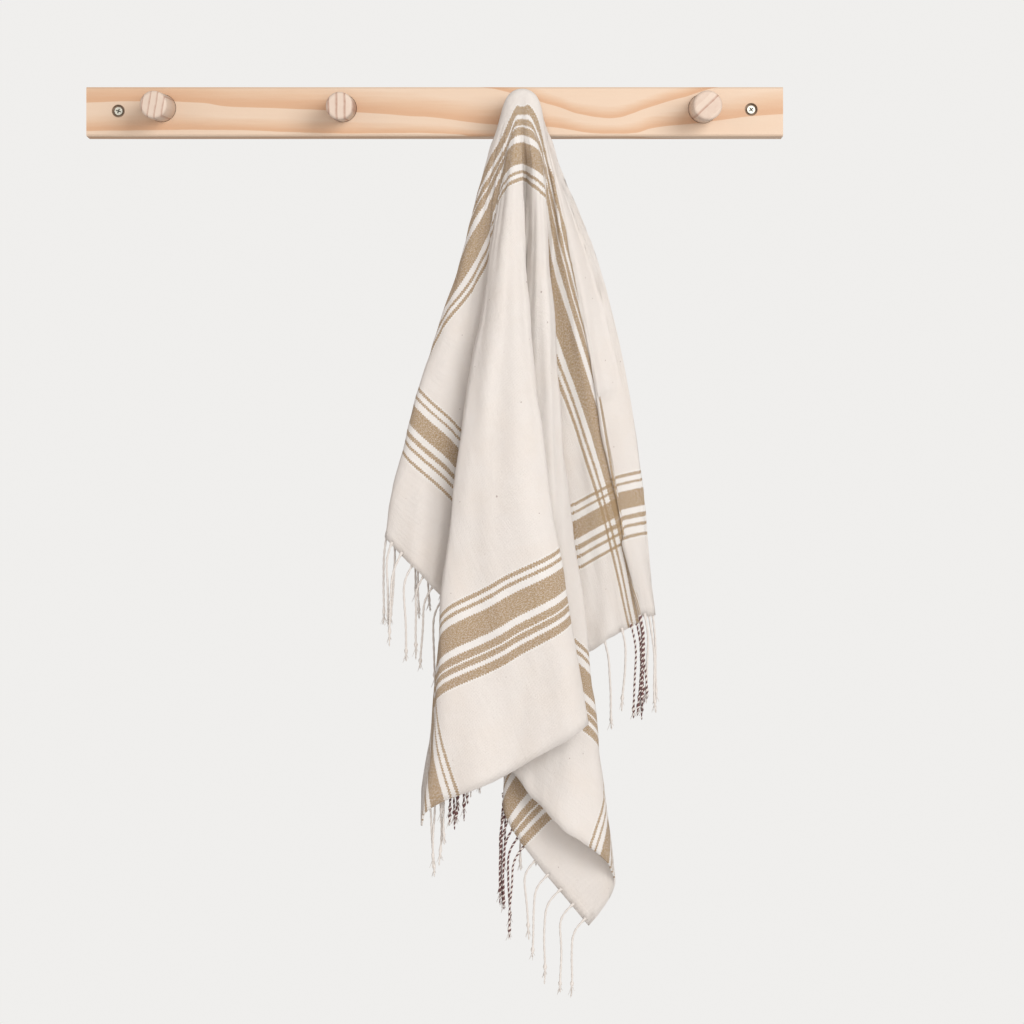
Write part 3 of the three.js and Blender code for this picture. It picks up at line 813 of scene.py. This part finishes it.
def makeRailMaterial():
    material, tree, shader = newMaterial("railPine")
    spot = coordinate(tree, "Object")
    axes = splitVector(tree, spot)
    drift = noiseOf(tree, spot, 60.0, 3.0, 0.5, (0.5, 1, 1))
    nudge = calc(tree, "MULTIPLY", calc(tree, "SUBTRACT", drift, 0.5), rail["drift"] * mm)
    z = calc(tree, "ADD", axes[2], nudge)
    inwards = calc(tree, "ADD", axes[1], rail["front"] * mm)
    z = calc(tree, "ADD", z, calc(tree, "MULTIPLY", inwards, rail["slope"]))
    high, middle, low = (ringEdge(tree, axes[0], rail[name]) for name in ("high", "middle", "low"))
    aboveHigh = calc(tree, "DIVIDE", calc(tree, "SUBTRACT", z, high), rail["fade"] * mm)
    level = calc(tree, "SUBTRACT", 1.0, aboveHigh)
    edges = ((high, middle), (middle, low))
    for top, bottom in edges:
        depth = calc(tree, "SUBTRACT", top, z)
        share = calc(tree, "DIVIDE", depth, calc(tree, "SUBTRACT", top, bottom))
        below = calc(tree, "DIVIDE", depth, rail["edge"] * mm, clamp=True)
        inside = calc(tree, "MULTIPLY", share, below)
        outside = calc(tree, "MULTIPLY", level, calc(tree, "SUBTRACT", 1.0, below))
        level = calc(tree, "ADD", inside, outside)
    above = calc(tree, "DIVIDE", calc(tree, "SUBTRACT", z, low), rail["edge"] * mm, clamp=True)
    level = calc(tree, "MULTIPLY", level, above)
    fibre = tree.nodes.new("ShaderNodeMapping")
    fibre.inputs["Scale"].default_value = (0.05, 1, 1)
    tree.links.new(spot, fibre.inputs["Vector"])
    grain = useGroup(tree, pineGrain, Level=level, Vector=fibre.outputs[0])
    color = grain["Color"]
    # round each screw the wood turns dark brown, out to a given reach from the screw's axis
    for x, z in rail["screws"]:
        dx = calc(tree, "SUBTRACT", axes[0], x * mm)
        dz = calc(tree, "SUBTRACT", axes[2], z * mm)
        squares = calc(tree, "ADD", calc(tree, "MULTIPLY", dx, dx), calc(tree, "MULTIPLY", dz, dz))
        distance = calc(tree, "SQRT", squares)
        within = calc(tree, "SUBTRACT", rail["darkReach"] * mm, distance)
        near = calc(tree, "DIVIDE", within, rail["darkEdge"] * mm, clamp=True)
        color = blendColor(tree, calc(tree, "MULTIPLY", near, 0.85), color, wood["screwDark"])
    tree.links.new(color, shader.inputs["Base Color"])
    shader.inputs["Roughness"].default_value = 0.55
    tree.links.new(bumpOf(tree, grain["Height"], 0.0003, 0.25), shader.inputs["Normal"])
    return material


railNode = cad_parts["rail"]
railMaterial = makeRailMaterial()
railNode.data.materials.clear()
railNode.data.materials.append(railMaterial)

# pegs: turned bars with rounded rims, each a little out of true, in mm; each row has the base's
# x and z, the lean right and down, the radius, and its rings' turn, pitch and offset
pegs = {
    "proud": 38.0,
    "sunk": 12.0,
    "rim": 2.4,
    "rimSteps": 8,
    "around": 56,
    "base": 18,
    "drift": 1.3,
    "rows": (
        ("peg_1", -211.2, 2.6, -2.4, 2.5, 10.5, -9, 5.3, 2.0),
        ("peg_2", -71.1, 2.5, -0.5, 3.4, 10.5, 1, 6.2, 0.6),
        ("peg_3", 67.6, -0.6, 0.0, 0.0, 11.0, 30, 6.0, 0.0),
        ("peg_4", 207.9, 2.3, 1.2, 2.8, 11.2, -46, 13.5, 4.6),
    ),
    "face": (0.80, 0.68, 0.575, 1),
    "flesh": (0.74, 0.575, 0.47, 1),
    "line": (0.42, 0.21, 0.14, 1),
}

# late wood darkens towards each ring's outer edge and stops sharply there
pegRings = [
    (0.0, (0.1, 0.1, 0.1, 1)),
    (0.05, (0, 0, 0, 1)),
    (0.62, (0.05, 0.05, 0.05, 1)),
    (0.84, (0.9, 0.9, 0.9, 1)),
    (0.96, (1, 1, 1, 1)),
    (1.0, (0.2, 0.2, 0.2, 1)),
]


def makePegMaterial(name, turn, pitch, offset):
    material, tree, shader = newMaterial(name + "Wood")
    spot = coordinate(tree, "UV")
    axes = splitVector(tree, spot)
    lean = math.radians(turn)
    sideways = calc(tree, "MULTIPLY", axes[0], math.cos(lean))
    upwards = calc(tree, "MULTIPLY", axes[1], math.sin(lean))
    across = calc(tree, "ADD", sideways, upwards)
    drift = noiseOf(tree, spot, 70.0, 2.0)
    across = calc(tree, "ADD", across, calc(tree, "MULTIPLY", drift, pegs["drift"] * mm))
    start = (offset + 10 * pitch) * mm  # whole rings more, so that nothing is below nought
    turns = calc(tree, "FRACT", calc(tree, "DIVIDE", calc(tree, "ADD", across, start), pitch * mm))
    line = rampOf(tree, calc(tree, "MULTIPLY", turns, pitch / 6), pegRings)
    faint = noiseOf(tree, spot, 240.0, 3.0, 0.6)
    color = blendColor(tree, calc(tree, "MULTIPLY", faint, 0.7), pegs["face"], pegs["flesh"])
    dark = calc(tree, "MULTIPLY", line, calc(tree, "ADD", faint, 0.2))
    color = blendColor(tree, dark, color, pegs["line"])
    tree.links.new(color, shader.inputs["Base Color"])
    shader.inputs["Roughness"].default_value = 0.6
    tree.links.new(bumpOf(tree, faint, 0.0004, 0.3), shader.inputs["Normal"])
    return material


def makePeg(name, x, z, right, down, radius, turn, pitch, offset):
    lathe = bmesh.new()
    proud, sunk, rim = pegs["proud"], pegs["sunk"], pegs["rim"]
    profile = [(0, -sunk), (radius, -sunk), (radius, proud - rim)]
    for k in range(1, pegs["rimSteps"] + 1):
        a = math.radians(90 * k / pegs["rimSteps"])
        profile.append((radius - rim * (1 - math.cos(a)), proud - rim * (1 - math.sin(a))))
    profile.append((0, proud))
    verts = [lathe.verts.new((px * mm, -py * mm, 0)) for px, py in profile]
    edges = [lathe.edges.new(pair) for pair in zip(verts, verts[1:])]
    bmesh.ops.spin(
        lathe,
        geom=verts + edges,
        cent=(0, 0, 0),
        axis=(0, 1, 0),
        angle=math.tau,
        steps=pegs["around"],
        use_merge=True,
    )
    bmesh.ops.remove_doubles(lathe, verts=lathe.verts, dist=0.00001)
    bmesh.ops.recalc_face_normals(lathe, faces=lathe.faces)
    uvLayer = lathe.loops.layers.uv.new("endGrain")
    for face in lathe.faces:
        face.smooth = True
        for loop in face.loops:
            loop[uvLayer].uv = (loop.vert.co.x, loop.vert.co.z)
    tiltX, tiltZ = math.atan2(down, proud), math.atan2(right, proud)
    sinX, cosX, sinZ, cosZ = math.sin(tiltX), math.cos(tiltX), math.sin(tiltZ), math.cos(tiltZ)
    for vert in lathe.verts:
        cx, cy, cz = vert.co
        cx, cy = cx * cosZ - cy * sinZ, cx * sinZ + cy * cosZ
        cy, cz = cy * cosX - cz * sinX, cy * sinX + cz * cosX
        vert.co = (cx + x * mm, cy - pegs["base"] * mm, cz + z * mm)
    piece = newPiece(name + "Turned", lathe, makePegMaterial(name, turn, pitch, offset))
    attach(piece, "root")
    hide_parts(name)


for row in pegs["rows"]:
    makePeg(*row)
print("rail and pegs made")

# screws: worn steel; the cross sunk in each head has painted shade, near black; the sunk face is in
# mm
screws = {
    "sunkFace": 16.95,
    "sunkEdge": 0.2,
    "dull": (0.55, 0.55, 0.47, 1),
    "bright": (0.80, 0.80, 0.72, 1),
    # painted shade: the near-black colour put in the cross's recess
    "cross": (0.03, 0.03, 0.025, 1),
}


def makeSteel():
    material, tree, shader = newMaterial("screwSteel")
    spot = coordinate(tree, "Object")
    wear = noiseOf(tree, spot, 900.0, 3.0)
    color = rampOf(tree, wear, [(0.3, screws["dull"]), (0.7, screws["bright"])])
    # painted shade: behind the sunk face the cross turns near black and loses its metal
    behind = calc(tree, "ADD", splitVector(tree, spot)[1], screws["sunkFace"] * mm)
    sunk = calc(tree, "DIVIDE", behind, screws["sunkEdge"] * mm, clamp=True)
    color = blendColor(tree, sunk, color, screws["cross"])
    tree.links.new(color, shader.inputs["Base Color"])
    roughness = calc(tree, "ADD", calc(tree, "MULTIPLY", wear, 0.3), 0.3)
    metallic = calc(tree, "SUBTRACT", 0.8, calc(tree, "MULTIPLY", sunk, 0.8))
    tree.links.new(roughness, shader.inputs["Roughness"])
    tree.links.new(metallic, shader.inputs["Metallic"])
    return material


steel = makeSteel()
for name in ("screw_left", "screw_right"):
    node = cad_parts[name]
    node.data.materials.clear()
    node.data.materials.append(steel)

# floor, backdrop and light; each light has its place, target, size, power and colour
studio = {
    "floorRadius": 1.1,
    "floorPlace": (0.06, 0, -0.95),
    "floor": (0.86, 0.85, 0.84, 1),
    "soft": (0.89, 0.81, 0.765, 1),
    "softPower": 0.48,
    "backdrop": (0.87, 0.86, 0.845, 1),
    "lights": (
        ("window", (1.3, -2.1, 0.55), (0.06, 0, -0.3), 1.3, 37, (1, 0.99, 0.975)),
        ("fill", (-1.7, -1.9, 0.1), (0.06, 0, -0.3), 1.6, 7, (1, 0.97, 0.95)),
        ("front", (0.2, -3.1, -0.1), (0.06, 0, -0.35), 1.4, 13, (1, 0.98, 0.965)),
    ),
}


def makeFloor():
    disc = bmesh.new()
    bmesh.ops.create_circle(disc, cap_ends=True, segments=96, radius=studio["floorRadius"])
    bmesh.ops.translate(disc, verts=disc.verts, vec=studio["floorPlace"])
    material, _, shader = newMaterial("floorPale")
    shader.inputs["Base Color"].default_value = studio["floor"]
    shader.inputs["Roughness"].default_value = 0.95
    return newPiece("floor", disc, material)


floor = makeFloor()

bpy.context.scene.view_settings.view_transform = "Standard"
world = bpy.data.worlds.new("studio")
world.use_nodes = True
worldTree = world.node_tree
soft = worldTree.nodes["Background"]
soft.inputs[0].default_value = studio["soft"]
soft.inputs[1].default_value = studio["softPower"]
backdrop = worldTree.nodes.new("ShaderNodeBackground")
backdrop.inputs[0].default_value = studio["backdrop"]
seen = worldTree.nodes.new("ShaderNodeLightPath")
either = worldTree.nodes.new("ShaderNodeMixShader")
worldTree.links.new(seen.outputs["Is Camera Ray"], either.inputs[0])
worldTree.links.new(soft.outputs[0], either.inputs[1])
worldTree.links.new(backdrop.outputs[0], either.inputs[2])
worldTree.links.new(either.outputs[0], worldTree.nodes["World Output"].inputs[0])
bpy.context.scene.world = world


def areaLight(name, place, target, size, power, color):
    data = bpy.data.lights.new(name, "AREA")
    data.energy = power
    data.size = size
    data.color = color
    lamp = bpy.data.objects.new(name, data)
    lamp.location = place
    lamp.rotation_euler = (Vector(target) - Vector(place)).to_track_quat("-Z", "Y").to_euler()
    bpy.context.scene.collection.objects.link(lamp)


for row in studio["lights"]:
    areaLight(*row)
print("light set")
